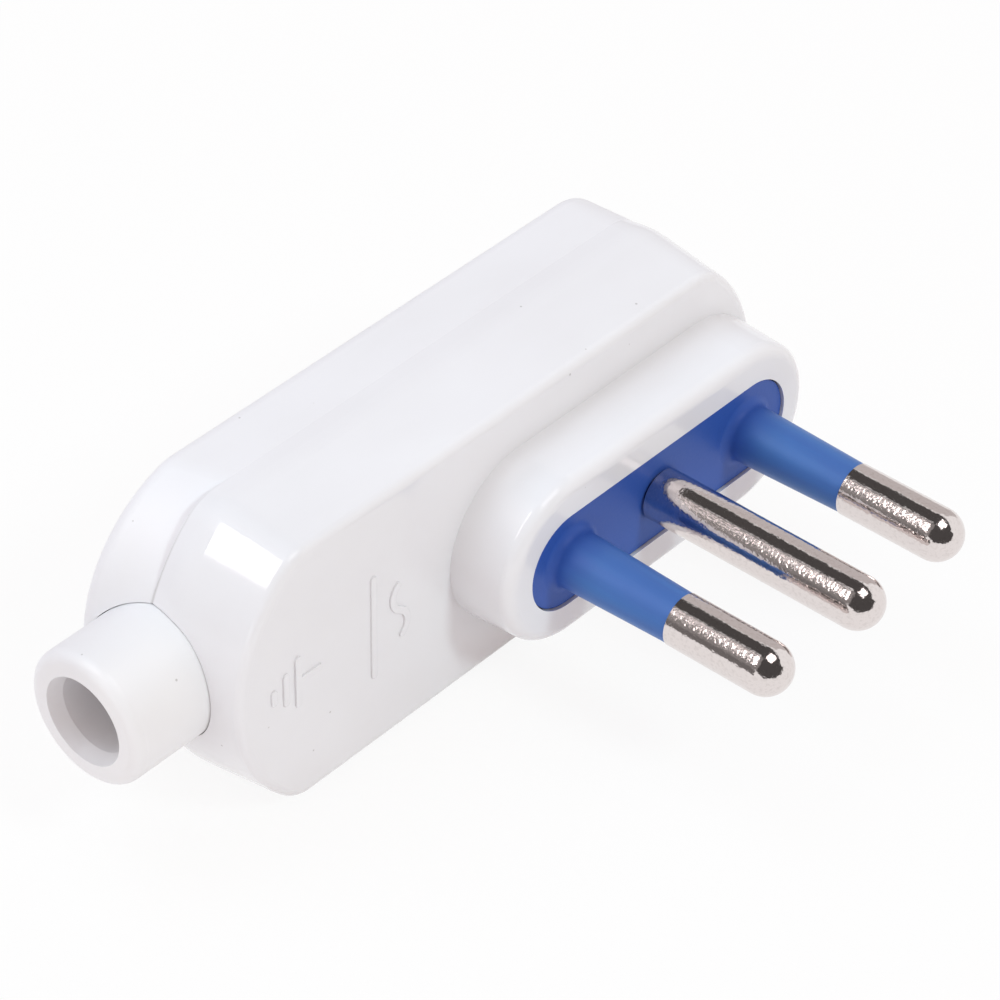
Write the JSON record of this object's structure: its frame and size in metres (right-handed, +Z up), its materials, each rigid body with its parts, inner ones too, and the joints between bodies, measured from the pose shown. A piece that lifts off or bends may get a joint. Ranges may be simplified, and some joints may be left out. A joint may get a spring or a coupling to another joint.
{
  "type": "flat electric plug",
  "caption": "Flat mains plug with a white split housing, a cable gland on its end and a raised boss that carries round in-line pins, the outer ones sleeved half way in blue plastic.",
  "frame": {"origin": "on the earth pin's axis, in the plane of the boss's front face, which meets the socket", "axes": "-Y along the pins towards their tips, +X along the housing away from the cable gland, +Z up with the plug on its long side"},
  "size_m": [0.0613, 0.0383, 0.023],
  "materials": {
    "white_plastic": "glossy moulded white",
    "gland_plastic": "semi-gloss moulded white",
    "blue_plastic": "semi-gloss moulded blue",
    "pin_nickel": "bright nickel plate on turned brass",
    "screw_steel": "zinc-plated"
  },
  "bodies": {
    "root": {"front_housing": "white_plastic", "rear_cover": "white_plastic", "cable_gland": "gland_plastic", "pin_carrier": "blue_plastic", "line_pin": "pin_nickel", "neutral_pin": "pin_nickel", "earth_pin": "pin_nickel", "terminal_screws": "screw_steel", "cord_clamp": "screw_steel", "clamp_screws": "screw_steel", "housing_screw": "screw_steel"}
  },
  "joints": []
}
